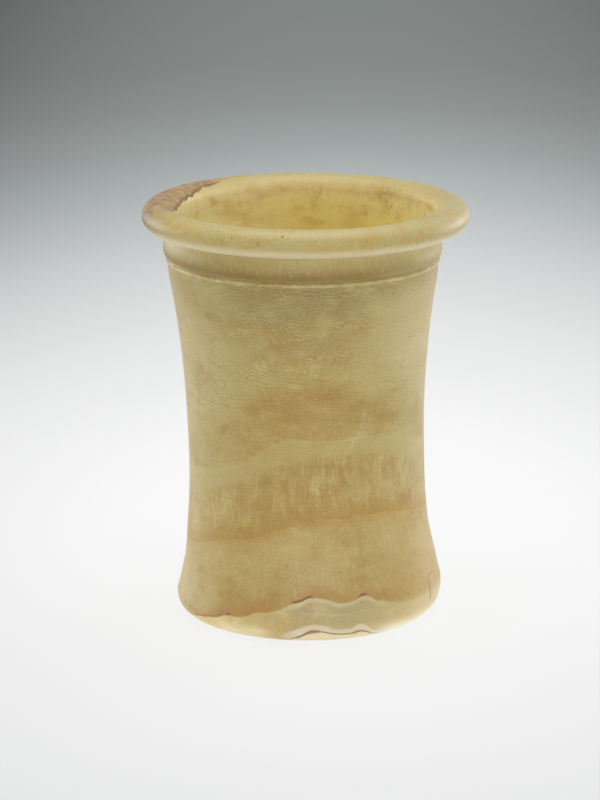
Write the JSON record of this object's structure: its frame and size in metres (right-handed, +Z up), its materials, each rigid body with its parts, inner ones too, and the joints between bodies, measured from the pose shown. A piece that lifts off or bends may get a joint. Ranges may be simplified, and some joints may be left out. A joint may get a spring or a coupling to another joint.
{
  "type": "canopic jar",
  "caption": "Open waisted jar of banded Egyptian alabaster with a thick rolled rim, plain neck band, cord-like ridge and splayed foot; no lid.",
  "frame": {"origin": "centre of the rim, projected down to the plane that the foot stands on", "axes": "+Z up along the jar, -Y towards the side with the dark patches on the foot, +X to the right of that side"},
  "size_m": [0.1546, 0.1546, 0.2],
  "materials": {
    "alabaster": "satin"
  },
  "bodies": {
    "root": {"jar": "alabaster"}
  },
  "joints": []
}
